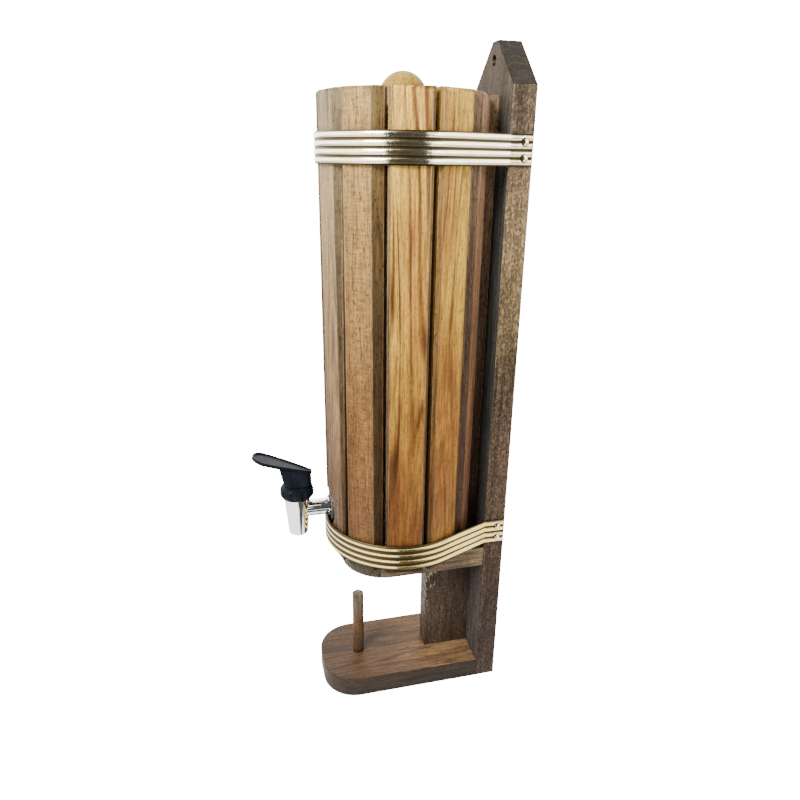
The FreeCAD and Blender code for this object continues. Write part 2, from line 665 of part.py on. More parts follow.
# Bonnet: a scalloped cap screwed on the tap body, with a guide for the stem and a pivot lug.
tap_bonnet = new_body("tap_bonnet")
sketch = new_sketch(tap_bonnet, "XZ_Plane")
path(sketch, [("0", "body_top - 4"), ("chamber_r - 0.3", "body_top - 4"),
              ("chamber_r - 0.3", "body_top + 1"), ("body_r + 0.3", "body_top + 1"),
              ("body_r + 0.3", "skirt_z"), ("skirt_r - 1.6", "skirt_z"),
              ("skirt_r", "skirt_z + 2.4"), ("skirt_r", "roof_z - 4.5", "5"),
              ("skirt_r - 3.6", "roof_z"), ("0", "roof_z")])
turn(tap_bonnet, sketch)
sketch = new_sketch(tap_bonnet, "XY_Plane", "skirt_z - 1")
circle(sketch, "0", "skirt_r + 1.7", "3")
scallop = pocket(tap_bonnet, sketch, "roof_z - skirt_z + 2")
scallops = tap_bonnet.newObject("PartDesign::PolarPattern", "tap_bonnet_scallops")
scallops.Originals = [scallop]
scallops.Axis = (sketch, ["N_Axis"])
scallops.Angle = 360
scallops.Occurrences = 10
tap_bonnet.Tip = scallops
doc.recompute()
sketch = new_sketch(tap_bonnet, "YZ_Plane")
path(sketch, [("pivot_y - tap_y - lug_r", "roof_z - 1"), ("pivot_y - tap_y + lug_r", "roof_z - 1"),
              ("pivot_y - tap_y + lug_r", "pivot_z", "lug_r"),
              ("pivot_y - tap_y - lug_r", "pivot_z")])
pad(tap_bonnet, sketch, "lug_w", middle=True)
sketch = new_sketch(tap_bonnet, "YZ_Plane")
circle(sketch, "pivot_y - tap_y", "pivot_z", "pin_r + snug")
pocket(tap_bonnet, sketch)
sketch = new_sketch(tap_bonnet, "XY_Plane", "roof_z + 1")
circle(sketch, "0", "0", "stem_r + snug")
pocket(tap_bonnet, sketch, "12", along=False)
place(tap_bonnet, y="tap_y")

bonnet_seal = new_body("bonnet_seal")
ring(bonnet_seal, "XY_Plane", "body_top", "0", "body_r - 0.3", "chamber_r + 0.2", "1")
place(bonnet_seal, y="tap_y")

# Lever: a hood that narrows upwards over lug and stem, under a leaf-shaped sloping paddle
# with a rounded tip and a shallow dish for the finger. The pins go in from the left.
tap_lever = new_body("tap_lever")
HOOD_LOW = [("5", "hood_back"), ("8.3", "hood_back - 3"), ("hood_w / 2", "hood_back - 8"),
            ("hood_w / 2", "hood_back - 17"), ("6", "hood_back - 21.3")]
HOOD_HIGH = [("0.4", "hood_back - 0.6"), ("0.9", "hood_back - 5"), ("3.4", "hood_back - 10"),
             ("7", "hood_back - 18"), ("6", "hood_back - 25.3")]
sections = []
for corners, height in ((HOOD_LOW, "roof_z + 0.5"), (HOOD_HIGH, "roof_z + 20")):
    sketch = new_sketch(tap_lever, "XY_Plane", height)
    path(sketch, corners + [("-" + x, y) for x, y in reversed(corners)])
    sections.append(sketch)
doc.recompute()
hood = tap_lever.newObject("PartDesign::AdditiveLoft", "tap_lever_hood")
hood.Profile = sections[0]
hood.Sections = [sections[1]]
hood.Ruled = True
doc.recompute()
sketch = new_sketch(tap_lever, "YZ_Plane")
path(sketch, [("hood_back + 6", "lever_z - 1.3 - 6 * tan(lever_tilt)"), ("hood_back + 6", "lever_z + 30"),
              ("hood_back - 34", "lever_z + 30"),
              ("hood_back - 34", "lever_z - 1.3 + 34 * tan(lever_tilt)")])
pocket(tap_lever, sketch)
sketch = new_sketch(tap_lever, "YZ_Plane")
path(sketch, [("hood_back - 18.4", "roof_z"), ("hood_back - 18.4", "roof_z + 1.2"),
              ("hood_back - 20.4", "roof_z + 3.6"), ("hood_back - 30", "roof_z + 4.8"),
              ("hood_back - 30", "roof_z")])
pocket(tap_lever, sketch)


def paddle_outline(inset, rear):
    """Leaf outline of the paddle on its sloping plane, a little inside its edge."""
    sketch = new_sketch(tap_lever, "XY_Plane")
    sketch.AttachmentOffset = FreeCAD.Placement(FreeCAD.Vector(), FreeCAD.Rotation(X_AXIS, -1))
    sketch.setExpression("AttachmentOffset.Rotation.Angle", ref("0 - lever_tilt"))
    sketch.setExpression("AttachmentOffset.Base.y", ref("hood_back"))
    sketch.setExpression("AttachmentOffset.Base.z", ref("lever_z"))
    wide = "(lever_w / 2 - %s)" % inset
    thin = "(2.4 - %s * 0.8)" % inset
    path(sketch, [(wide, "-34", "160"), (thin, rear), ("-" + thin, rear, "160"), ("-" + wide, "-34"),
                  ("-" + wide, "lever_w / 2 - lever_len", wide), (wide, "lever_w / 2 - lever_len")])
    return sketch


pad(tap_lever, paddle_outline("0", "0.9"), "lever_t", back=True)
dish = pocket(tap_lever, paddle_outline("1.5", "-1"), "0.9", along=False)
sketch = new_sketch(tap_lever, "YZ_Plane")
path(sketch, [("hood_back - 4", "roof_z - 1"), ("hood_back - 4", "roof_z + 8.5"),
              ("tap_y + 3.2", "roof_z + 11"), ("-91", "roof_z + 11"), ("-91", "roof_z - 1")])
hollow = pocket(tap_lever, sketch)
hollow.Type = "Length"
hollow.setExpression("Length", ref("hood_slot"))
for y in ("pivot_y", "tap_y"):
    sketch = new_sketch(tap_lever, "YZ_Plane", "pin_in + 0.2")
    circle(sketch, y, "pivot_z", "pin_r + snug")
    pocket(tap_lever, sketch, "hood_w", along=False)

# The two cross pins: the pivot in the lug, and the one that lifts the stem.
for label, y in (("pivot_pin", "pivot_y"), ("lift_pin", "tap_y")):
    pin = doc.addObject("Part::Cylinder", label)
    pin.Label = label
    pin.setExpression("Radius", ref("pin_r"))
    pin.setExpression("Height", ref("2 * pin_in + 0.8"))
    place(pin, "0 - pin_in - 0.8", y, "pivot_z", FreeCAD.Vector(0, 1, 0), "90")

# Valve stem: a rod with a flange and a button for the washer and a slotted flat eye on top.
valve_stem = new_body("valve_stem")
sketch = new_sketch(valve_stem, "XZ_Plane")
path(sketch, [("0", "seat_z - 1.6"), ("1.8", "seat_z - 1.6"), ("2.3", "seat_z - 1.1"),
              ("2.3", "seat_z - 0.05"), ("1.5", "seat_z - 0.05"), ("1.5", "seat_z + 2.5"),
              ("4.3", "seat_z + 2.5"), ("4.3", "seat_z + 4"), ("stem_r", "seat_z + 4"),
              ("stem_r", "pivot_z - 2"), ("0", "pivot_z - 2")])
turn(valve_stem, sketch)
sketch = new_sketch(valve_stem, "XY_Plane", "pivot_z - 3.4")
rectangle(sketch, "-2.4", "-2.6", "2.4", "2.6")
pad(valve_stem, sketch, "5.8")
sketch = new_sketch(valve_stem, "YZ_Plane")
path(sketch, [("-0.5", "pivot_z - 1.13"), ("0.02", "pivot_z - 1.13", "1.13"),
              ("0.02", "pivot_z + 1.13"), ("-0.5", "pivot_z + 1.13", "1.13")])
pocket(valve_stem, sketch)
place(valve_stem, y="tap_y")

valve_washer = new_body("valve_washer")
ring(valve_washer, "XY_Plane", "seat_z", "0", "chamber_r - 0.4", "1.55", "2.5")
place(valve_washer, y="tap_y")

# Return spring between the stem's flange and the bonnet, of six-sided wire.
coil = doc.addObject("Part::Helix", "spring_line")
coil.setExpression("Radius", ref("chamber_r - 1.5"))
coil.Pitch = 3.6
coil.setExpression("Height", ref("body_top - 8 - seat_z - 1.1"))
place(coil, "0", "tap_y", "seat_z + 4.55")
wire = doc.addObject("Part::RegularPolygon", "spring_wire")
wire.Polygon = 6
wire.Circumradius = 0.45
place(wire, "chamber_r - 1.5", "tap_y", "seat_z + 4.55", X_AXIS, "90")
return_spring = doc.addObject("Part::Sweep", "return_spring")
return_spring.Sections = [wire]
return_spring.Spine = (coil, [])
return_spring.Solid = True
return_spring.Frenet = True

# Washers and nut that clamp the pipe in the cask.
outer_washer = new_body("outer_washer")
ring(outer_washer, "XZ_Plane", "recess_y", "tap_z", "washer_r", "pipe_r + snug", "2")
washer_blank = new_body("washer_blank")
ring(washer_blank, "XZ_Plane", "36.5", "tap_z", "11", "pipe_r + snug", "8")
tank_inside = doc.addObject("Part::Cylinder", "tank_inside")
tank_inside.setExpression("Radius", ref("core_r - tank_wall - core_gap"))
tank_inside.setExpression("Height", ref("cask_top"))
inner_washer = doc.addObject("Part::Common", "inner_washer")
inner_washer.Base = washer_blank
inner_washer.Tool = tank_inside
lock_nut = new_body("lock_nut")
sketch = new_sketch(lock_nut, "XZ_Plane", "32.3")
path(sketch, [("nut_r * cos(%d)" % angle, "tap_z + nut_r * sin(%d)" % angle)
              for angle in range(0, 360, 60)])
circle(sketch, "0", "tap_z", "pipe_r + snug")
pad(lock_nut, sketch, "4.2")

NODES = ["back_board", "base_plate", "support_post", "cask_shelf", "base_peg"]
NODES += ["stave_%s_%d" % (side, place_no) for place_no in range(1, 6) for side in ("right", "left")]
NODES += ["stave_rear", "bottom_head", "top_head", "inner_tank", "tank_lid", "lower_hoop", "upper_hoop",
          "hoop_nails", "board_screws", "cask_screws", "post_screws", "stopper", "stopper_rings",
          "tap_body", "tap_bonnet", "bonnet_seal", "tap_lever", "pivot_pin", "lift_pin",
          "valve_stem", "valve_washer", "return_spring", "outer_washer", "inner_washer",
          "lock_nut"]

doc.recompute()
for item in doc.Objects:
    if "Invalid" in item.State or "Error" in item.State:
        raise RuntimeError("failed: " + item.Name)
for feature in CUTS:
    before = feature.BaseFeature.Shape.Volume
    if feature.Shape.Volume > before - 0.01:
        raise RuntimeError("cuts nothing: " + feature.Name)
shapes = {}
for label in NODES:
    item = doc.getObjectsByLabel(label)[0]
    if item.Shape.isNull() or not item.Shape.isValid() or not item.Shape.Solids:
        raise RuntimeError("bad shape: " + label)
    shapes[label] = item.Shape
os.makedirs("parts", exist_ok=True)
for label in NODES:
    shapes[label].exportStep("parts/%s.step" % label)
print(len(NODES), "nodes written")
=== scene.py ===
import json
import math

import bmesh
import bpy
from mathutils import Matrix, Vector

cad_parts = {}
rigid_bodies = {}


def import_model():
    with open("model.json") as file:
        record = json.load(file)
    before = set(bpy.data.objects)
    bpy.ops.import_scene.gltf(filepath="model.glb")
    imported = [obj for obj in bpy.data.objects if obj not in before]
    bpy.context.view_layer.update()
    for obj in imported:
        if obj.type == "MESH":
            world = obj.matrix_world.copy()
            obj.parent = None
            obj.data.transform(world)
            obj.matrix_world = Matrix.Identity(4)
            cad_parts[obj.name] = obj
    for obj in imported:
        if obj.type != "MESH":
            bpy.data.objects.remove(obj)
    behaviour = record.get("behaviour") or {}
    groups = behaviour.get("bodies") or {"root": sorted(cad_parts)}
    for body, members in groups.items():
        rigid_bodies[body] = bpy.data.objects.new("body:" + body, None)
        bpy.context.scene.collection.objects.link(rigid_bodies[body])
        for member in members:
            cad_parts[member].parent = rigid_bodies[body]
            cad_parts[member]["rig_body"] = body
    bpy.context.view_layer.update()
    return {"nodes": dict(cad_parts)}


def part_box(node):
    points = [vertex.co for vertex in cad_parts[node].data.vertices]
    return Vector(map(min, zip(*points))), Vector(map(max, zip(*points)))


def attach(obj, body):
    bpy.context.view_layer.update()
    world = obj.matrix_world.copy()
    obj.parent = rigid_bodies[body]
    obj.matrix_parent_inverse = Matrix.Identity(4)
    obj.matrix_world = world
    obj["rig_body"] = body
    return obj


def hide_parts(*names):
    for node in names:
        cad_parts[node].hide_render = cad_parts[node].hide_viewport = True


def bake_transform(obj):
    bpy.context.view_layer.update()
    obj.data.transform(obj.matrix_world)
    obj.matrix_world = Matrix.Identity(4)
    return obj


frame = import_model()

# Back board: one long waxed oak plank with a dark pointed head. Its front and rear carry painted shade of the
# cask, nearly black beside it, and its sides painted shade that changes with height.
# It stands on its end, and everything else is screwed to its front. Its edges are broken by hand.

solids = frame["nodes"]


def add(tree, kind, sockets=None, **settings):
    """Add a shader node. Each socket is given a plain value or the output that feeds it."""
    made = tree.nodes.new("ShaderNode" + kind)
    for key, item in settings.items():
        setattr(made, key, item)
    for key, item in (sockets or {}).items():
        if isinstance(item, bpy.types.NodeSocket):
            tree.links.new(item, made.inputs[key])
        else:
            made.inputs[key].default_value = item
    return made


def stretched(tree, scale=(1, 1, 1), shift=(0, 0, 0)):
    """The object's own coordinates, stretched and shifted."""
    place = add(tree, "TexCoord").outputs["Object"]
    return add(tree, "Mapping", {"Vector": place, "Scale": scale, "Location": shift}).outputs["Vector"]


def own_axes(tree):
    """The object's own coordinates as outputs X, Y and Z, in metres."""
    return add(tree, "SeparateXYZ", {0: add(tree, "TexCoord").outputs["Object"]}).outputs


def cloud(tree, place, scale, detail=2.0, twist=0.0):
    """Value of a noise at a place."""
    sockets = {"Vector": place, "Scale": scale, "Detail": detail, "Distortion": twist}
    return add(tree, "TexNoise", sockets).outputs["Fac"]


def between(tree, value, start, end):
    """0 at the start, 1 at the end and smooth between them."""
    sockets = {"Value": value, "From Min": start, "From Max": end}
    return add(tree, "MapRange", sockets, interpolation_type="SMOOTHSTEP").outputs["Result"]


def rescale(tree, value, low, high, start=0.0, end=1.0):
    """Low at the start, high at the end and straight between them."""
    sockets = {"Value": value, "From Min": start, "From Max": end, "To Min": low, "To Max": high}
    return add(tree, "MapRange", sockets).outputs["Result"]


def work_out(tree, how, *values):
    """One step of arithmetic on values or outputs."""
    return add(tree, "Math", dict(enumerate(values)), operation=how).outputs[0]


def times(tree, first, second):
    """Product of two values."""
    return work_out(tree, "MULTIPLY", first, second)


def less(tree, first, second):
    """The first value less the second."""
    return work_out(tree, "SUBTRACT", first, second)


def paint(tree, share, under, over, how="MIX"):
    """Lay one colour over another by a share."""
    made = add(tree, "Mix", data_type="RGBA", blend_type=how)
    for socket, item in ((made.inputs[0], share), (made.inputs[6], under), (made.inputs[7], over)):
        if isinstance(item, bpy.types.NodeSocket):
            tree.links.new(item, socket)
        elif socket.type == "RGBA":
            socket.default_value = (*item, 1)
        else:
            socket.default_value = item
    return made.outputs[2]


def tinted(tree, colour, tint):
    """A colour multiplied by a tint or a value."""
    return paint(tree, 1.0, colour, tint, "MULTIPLY")


def principled(material):
    """Tree and main shader of a material."""
    return material.node_tree, material.node_tree.nodes["Principled BSDF"]


def new_finish(name, rough=0.5, metal=0.0):
    """Material with a principled shader; returns it with its tree and its shader."""
    material = bpy.data.materials.new(name)
    material.use_nodes = True
    tree, shader = principled(material)
    shader.inputs["Roughness"].default_value = rough
    shader.inputs["Metallic"].default_value = metal
    return material, tree, shader


def raise_grain(tree, shader, height, depth):
    """Bump from a height value, in metres."""
    bump = add(tree, "Bump", {"Height": height, "Distance": depth, "Strength": 1.0})
    tree.links.new(bump.outputs["Normal"], shader.inputs["Normal"])


RAMP_LONG = 0.5  # metres that a tone ramp covers


def ramp_along(tree, stops, axis):
    """Tone that changes along an axis, from a list of places in metres and colours."""
    start = stops[0][0]
    share = work_out(tree, "DIVIDE", less(tree, own_axes(tree)[axis], start), RAMP_LONG)
    ramp = add(tree, "ValToRGB", {"Fac": share})
    elements = ramp.color_ramp.elements
    while len(elements) < len(stops):
        elements.new(0.5)
    for element, (level, tone) in zip(elements, stops):
        element.position = (level - start) / RAMP_LONG
        element.color = (*tone, 1)
    return ramp.outputs["Color"]


# Scales of a plank's figure, in marks a metre, and how far each mark is drawn out with the grain.
RING_SCALE, RING_DRAWN = 40, 0.07
FIBRE_SCALE = 700
PORE_SCALE, PORE_DRAWN = 1050, 0.3
PATCH_SCALE, STRENGTH_SCALE = 30, 45
SPECKLE_SCALE, SPECKLE_DRAWN = 750, 0.7
SAW_SCALE, SAW_SQUEEZED = 130, 7
THREADS_A_RING = 2.7  # thin lines to each growth ring
SEED_STEP = (1.31, 0.77, 0.53)  # how far one step of the seed moves the figure
WAX_SHINE = 0.12
GRAIN_DEPTH = 0.00025


def drawn_out(axis, share):
    """Scale that draws a pattern out along an axis, or squeezes it where the share is over 1."""
    return [share if name == axis else 1 for name in "XYZ"]


def contours(tree, wave, count):
    """Contour lines of a wave: 0 on a line and 0.5 halfway to the next."""
    return work_out(tree, "PINGPONG", times(tree, wave, count), 0.5)


def timber(name, pale, brown, dark, seed, along="Z", streaks=0.7, specks=0.5, speckle=0.0, saw=0.0,
           fade=None, fade_axis="Z", tight=9.0, rough=0.5):
    """Sawn and waxed wood. Growth rings are contours of a long noise; fibres and pores follow them."""
    material, tree, shader = new_finish(name, rough)
    shader.inputs["Specular IOR Level"].default_value = WAX_SHINE
    shift = [seed * step for step in SEED_STEP]
    grain = stretched(tree, drawn_out(along, RING_DRAWN), shift)
    loose = stretched(tree, drawn_out(along, PORE_DRAWN), shift)
    wave = cloud(tree, grain, RING_SCALE, 1.5, 0.5)
    streak = between(tree, contours(tree, wave, tight), 0.30, 0.03)
    thread = between(tree, contours(tree, wave, tight * THREADS_A_RING), 0.3, 0.1)
    fibre = cloud(tree, grain, FIBRE_SCALE, 3)
    pore = between(tree, cloud(tree, loose, PORE_SCALE, 1), 0.56, 0.70)
    patch = between(tree, cloud(tree, loose, PATCH_SCALE), 0.36, 0.66)
    strength = between(tree, cloud(tree, loose, STRENGTH_SCALE), 0.3, 0.62)
    colour = paint(tree, patch, pale, brown)
    colour = paint(tree, times(tree, streak, times(tree, strength, streaks)), colour, dark)
    colour = paint(tree, times(tree, thread, 0.3 * streaks), colour, dark)
    colour = tinted(tree, colour, rescale(tree, fibre, 0.62, 1.38, 0.3, 0.7))
    colour = paint(tree, times(tree, pore, specks), colour, dark)
    if speckle:
        spots = stretched(tree, (1, 1, SPECKLE_DRAWN), shift)
        dots = between(tree, cloud(tree, spots, SPECKLE_SCALE), 0.48, 0.6)
        lighter = tinted(tree, colour, (3.0, 2.9, 2.6))
        colour = paint(tree, times(tree, dots, speckle), colour, lighter)
    if saw:
        marks = cloud(tree, stretched(tree, drawn_out(along, SAW_SQUEEZED), shift), SAW_SCALE, 3)
        colour = tinted(tree, colour, rescale(tree, marks, 1 - saw, 1 + saw, 0.3, 0.7))
    if fade:
        colour = tinted(tree, colour, ramp_along(tree, fade, fade_axis))
    tree.links.new(colour, shader.inputs["Base Color"])
    relief = less(tree, less(tree, fibre, pore), times(tree, streak, 0.5))
    raise_grain(tree, shader, relief, GRAIN_DEPTH)
    return material


def settle(piece, name):
    """A finished piece takes the place of a solid, on its body."""
    bpy.context.collection.objects.link(piece)
    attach(piece, solids[name]["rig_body"])
    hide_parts(name)


WELD = 3e-6  # points nearer than this become one
FLAT = math.radians(0.5)  # facets that turn less than this are joined
SHARP = math.radians(22)  # edges that turn more than this are rounded
CREASE = math.radians(48)  # edges that turn more than this stay crisp
SQUARE = 0.85  # least share of a normal that looks along an axis


def ease_edges(name, width, *finishes, choose=None, rubbed_highlit=None, steps=2):
    """Copy a solid as one closed skin and round off its sharp edges.
    Choose gives a face its finish from its normal; the finish for the rounded upright edges is, on the
    staves, wear with a painted highlight."""
    mesh = solids[name].data.copy()
    mesh.name = name + "_skin"
    mesh.materials.clear()
    skin = bmesh.new()
    skin.from_mesh(mesh)
    bmesh.ops.remove_doubles(skin, verts=skin.verts, dist=WELD)
    bmesh.ops.dissolve_limit(skin, angle_limit=FLAT, verts=skin.verts, edges=skin.edges)
    skin.normal_update()
    sharp = [edge for edge in skin.edges if edge.is_manifold and edge.calc_length() > 4 * width
             and edge.calc_face_angle() > SHARP]
    made = bmesh.ops.bevel(skin, geom=sharp, offset=width, offset_type="OFFSET", affect="EDGES",
                           segments=steps, profile=0.5, material=-1, clamp_overlap=False)
    skin.normal_update()
    rounded = set(made["faces"]) if rubbed_highlit else ()
    for face in skin.faces:
        face.smooth = True
        face.material_index = choose(face.normal) if choose else 0
        if face in rounded and abs(face.normal.z) < 0.3:
            face.material_index = rubbed_highlit
    skin.to_mesh(mesh)
    skin.free()
    mesh.set_sharp_from_angle(angle=CREASE)
    for finish in finishes:
        mesh.materials.append(finish)
    piece = bpy.data.objects.new(name + "_skin", mesh)
    weighted = piece.modifiers.new("even_shading", "WEIGHTED_NORMAL")
    weighted.keep_sharp = True
    settle(piece, name)


# Painted shade on the board's sides: dark low down, lightest at 0.4 m and darker again at the top.
BOARD_SIDE_SHADE = [(0.09, (0.21, 0.2, 0.22)), (0.19, (0.39, 0.37, 0.36)), (0.257, (0.20, 0.2, 0.19)),
              (0.333, (0.57, 0.58, 0.46)), (0.40, (1.28, 1.27, 1.05)), (0.455, (0.66, 0.72, 0.72))]
# Front and rear: a fade that is darkest from 0.14 m up to the cask's top, the painted shadow of the cask, and
# lighter above the cask.
FRONT_SHADOW_FADE = [(0.09, (0.78, 0.78, 0.78)), (0.14, (0.45, 0.52, 0.55)), (0.44, (0.7, 0.86, 0.9)),
              (0.475, (1.0, 0.86, 0.62))]
board_wood = timber("dark_board", (0.25, 0.17, 0.105), (0.15, 0.10, 0.062), (0.035, 0.024, 0.018), 3.0,
                    streaks=0.6, specks=0.6, speckle=0.6, fade=BOARD_SIDE_SHADE, rough=0.6)
board_end = timber("board_head", (0.013, 0.009, 0.0055), (0.007, 0.0048, 0.0035), (0.042, 0.032, 0.020),
                   4.0, along="X", streaks=0.45, specks=0.3, rough=0.7)
# Dark tones on the board's front and rear: painted shade of the cask.
shadowed_board_front = timber("shadowed_board_front", (0.085, 0.068, 0.058), (0.055, 0.044, 0.038), (0.02, 0.016, 0.014),
                     3.5, streaks=0.6, specks=0.8, fade=FRONT_SHADOW_FADE, rough=0.7)


def board_side(normal):
    """Finish 1 on the sloping head and the ends, 2, with the painted shadow of the cask, on the front and the
    rear, 0 on the sides.
    """
    return 1 if abs(normal.z) > 0.25 else 2 * int(abs(normal.y) > SQUARE)


ease_edges("back_board", 0.0006, board_wood, board_end, shadowed_board_front, choose=board_side)

# Base plate: the same plank laid flat with two round front corners, with a reddish tone
# on top and dark scorched edges. Its top carries painted shade at the front and painted light towards the
# board, where the post and cask shade it, and its sides carry painted shade besides the scorch. The peg is a
# turned stick glued upright in it.

# Painted light and shade on the base's top: darker at the front and lighter towards the board, where the post
# and cask shade it.
BASE_LIGHT_AND_SHADE = [(-0.07, (0.38, 0.42, 0.43)), (-0.02, (0.5, 0.52, 0.52)), (0.03, (1.06, 1.18, 1.1))]
base_wood = timber("warm_base", (0.225, 0.115, 0.056), (0.115, 0.062, 0.033), (0.045, 0.024, 0.015), 11.0,
                   along="Y", streaks=0.6, specks=0.5, fade=BASE_LIGHT_AND_SHADE, fade_axis="Y")
# The base's sides: dark scorched wood, made darker still as painted shade.
base_edge = timber("dark_edge", (0.033, 0.020, 0.0125), (0.017, 0.011, 0.007), (0.006, 0.004, 0.0025),
                   12.0, along="Y", streaks=0.5, specks=0.6)
ease_edges("base_plate", 0.0004, base_edge, base_wood, choose=lambda normal: int(normal.z > SQUARE))

PEG_FADE = [(0.018, (0.2, 0.18, 0.16)), (0.022, (0.52, 0.5, 0.46)), (0.05, (0.76, 0.7, 0.58)),
            (0.074, (0.95, 1.25, 1.45))]
peg_wood = timber("peg_stick", (0.22, 0.16, 0.085), (0.13, 0.075, 0.04), (0.04, 0.02, 0.012), 17.0,
                  streaks=0.8, specks=0.6, tight=5, fade=PEG_FADE)
ease_edges("base_peg", 0.0003, peg_wood)

# Post and shelf: the post is a plank on edge with dried glue on its front corner, and the
# shelf above it is sawn to a round front. Both are glued, and screwed to the board.

GLUE_BACK, GLUE_FRONT = 0.052, 0.026  # where the glue thins out, and the front corner
GLUE_LOW, GLUE_HIGH = -0.06, 0.10  # it thins out downwards too
GLUE_TONE = (0.34, 0.27, 0.17)
post_wood = timber("brown_post", (0.050, 0.033, 0.021), (0.027, 0.018, 0.0115), (0.011, 0.007, 0.005),
                   23.0, streaks=0.4, specks=0.5, speckle=0.35)
tree, shader = principled(post_wood)
place = own_axes(tree)
corner = times(tree, between(tree, place["Y"], GLUE_BACK, GLUE_FRONT),
               between(tree, place["Z"], GLUE_LOW, GLUE_HIGH))
drip = times(tree, corner, cloud(tree, stretched(tree, (1, 1, 0.35)), 420, 3, 0.3))
wood_colour = shader.inputs["Base Color"].links[0].from_socket
tree.links.new(paint(tree, between(tree, drip, 0.48, 0.56), wood_colour, GLUE_TONE),
               shader.inputs["Base Color"])
ease_edges("support_post", 0.0005, post_wood)
shelf_wood = timber("brown_shelf", (0.29, 0.20, 0.105), (0.17, 0.115, 0.062), (0.045, 0.03, 0.02), 29.0,
                    along="Y", streaks=0.5, specks=0.7)
shelf_rim = timber("shelf_rim", (0.07, 0.055, 0.035), (0.04, 0.032, 0.02), (0.012, 0.009, 0.007), 30.0,
                   along="Y", streaks=0.5, specks=0.7)
ease_edges("cask_shelf", 0.0004, shelf_rim, shelf_wood, choose=lambda normal: int(abs(normal.x) > 0.97))

# Staves: ten oak strips and a thicker one at the rear, from different boards, so each has its own tone. Their
# long edges are planed by hand, and the end grain on top is darker.
# Their faces darken and redden towards the foot, partly in tone and partly as painted shade; their edges and
# the sides in the gaps are dark, scorched and painted shade; their rounded arrises are paler, wear and
# painted highlight.

# Staves' faces: darker and redder towards the foot, partly a tone of the oak and partly painted shade of the
# light from above.
STAVE_TONE_AND_SHADE = [(0.134, (0.08, 0.07, 0.06)), (0.1365, (0.32, 0.23, 0.21)), (0.19, (0.38, 0.27, 0.23)),
              (0.233, (0.49, 0.36, 0.30)), (0.33, (0.78, 0.65, 0.53)), (0.41, (1.06, 0.98, 0.86)),
              (0.455, (1.2, 1.12, 1.1))]
# Edges and sides of the staves: scorched dark, with painted shade in the gaps between staves and towards the
# foot.
EDGE_SCORCH_AND_SHADE = [(0.134, (0.02, 0.018, 0.016)), (0.1365, (0.09, 0.065, 0.05)), (0.233, (0.13, 0.1, 0.08)),
             (0.33, (0.21, 0.19, 0.18)), (0.41, (0.42, 0.40, 0.37)), (0.455, (0.58, 0.58, 0.56))]
# Rounded arrises: paler, wear with a painted highlight, and painted shade towards the foot.
RUBBED_HIGHLIT_FADE = [(0.134, (0.05, 0.045, 0.04)), (0.1365, (0.3, 0.22, 0.18)), (0.233, (0.4, 0.3, 0.25)),
             (0.33, (0.62, 0.55, 0.48)), (0.455, (1.0, 1.0, 1.0))]
FOOT_TOP, CROWN_LOW = 0.3, 0.45  # a stave's foot ends and its crown starts at these heights
GREY = ((0.52, 0.39, 0.19), (0.37, 0.27, 0.14), (0.11, 0.07, 0.035))
PALE = ((0.37, 0.24, 0.09), (0.26, 0.16, 0.058), (0.09, 0.05, 0.02))
HONEY = ((0.66, 0.43, 0.08), (0.44, 0.225, 0.055), (0.13, 0.055, 0.016))
GOLD = ((0.86, 0.57, 0.095), (0.58, 0.30, 0.065), (0.2, 0.09, 0.024))
RED = ((0.66, 0.44, 0.26), (0.45, 0.28, 0.16), (0.11, 0.05, 0.03))
# Tones of the rounded arrises: worn wood and painted highlight.
RUBBED_HIGHLIT = ((0.42, 0.32, 0.17), (0.32, 0.23, 0.12), (0.14, 0.09, 0.05))
# Each stave's tones, streaks, specks and saw marks, and the painted light and shade at its foot and its
# crown, as factors on the shared fade.
STAVE_TONES = {
    "right_1": (GREY, 0.8, 0.35, 0.1, 0.92, 0.6),
    "right_2": (PALE, 0.25, 0.7, 0.25, 1.1, 0.93),
    "right_3": (HONEY, 1.0, 0.35, 0.05, 0.95, 1.22),
    "right_4": (GOLD, 0.9, 0.5, 0.05, 1.22, 0.84),
    "right_5": (RED, 0.5, 0.5, 0.05, 1.0, 1.25),
    "left_1": (PALE, 0.6, 0.4, 0.12, 1.0, 1.0),
    "left_2": (HONEY, 0.9, 0.4, 0.05, 1.0, 1.0),
    "left_3": (GREY, 0.4, 0.6, 0.15, 1.0, 0.9),
    "left_4": (GOLD, 0.8, 0.4, 0.05, 1.1, 0.9),
    "left_5": (RED, 0.5, 0.5, 0.05, 1.0, 1.1),
    "rear": (RED, 0.5, 0.5, 0.05, 1.0, 1.0),
}
end_grain = timber("stave_ends", (0.16, 0.105, 0.07), (0.09, 0.06, 0.04), (0.03, 0.02, 0.015), 5.0,
                   along="X", streaks=0.3, specks=0.8)
# Paler rounded arrises: wear and painted highlight.
rubbed_highlit_oak = timber("rubbed_highlit_oak", *RUBBED_HIGHLIT, 6.0, streaks=0.5, specks=0.6, fade=RUBBED_HIGHLIT_FADE)


def facing(outward):
    """Finish 0 on a stave's face, 1 on its planed edges and sides, 2 on its ends."""
    def choose(normal):
        if abs(normal.z) > SQUARE:
            return 2
        return int(Vector((normal.x, normal.y)).normalized().dot(outward) < 0.955)
    return choose


def own_fade(foot, crown):
    """The fade that all staves share, partly tone and partly painted shade, with each stave's painted light
    and shade at the foot and at the crown.
    """
    shares = [foot if level < FOOT_TOP else crown if level > CROWN_LOW else 1.0 for level, _ in STAVE_TONE_AND_SHADE]
    return [(level, tuple(part * share for part in tone)) for (level, tone), share in zip(STAVE_TONE_AND_SHADE, shares)]


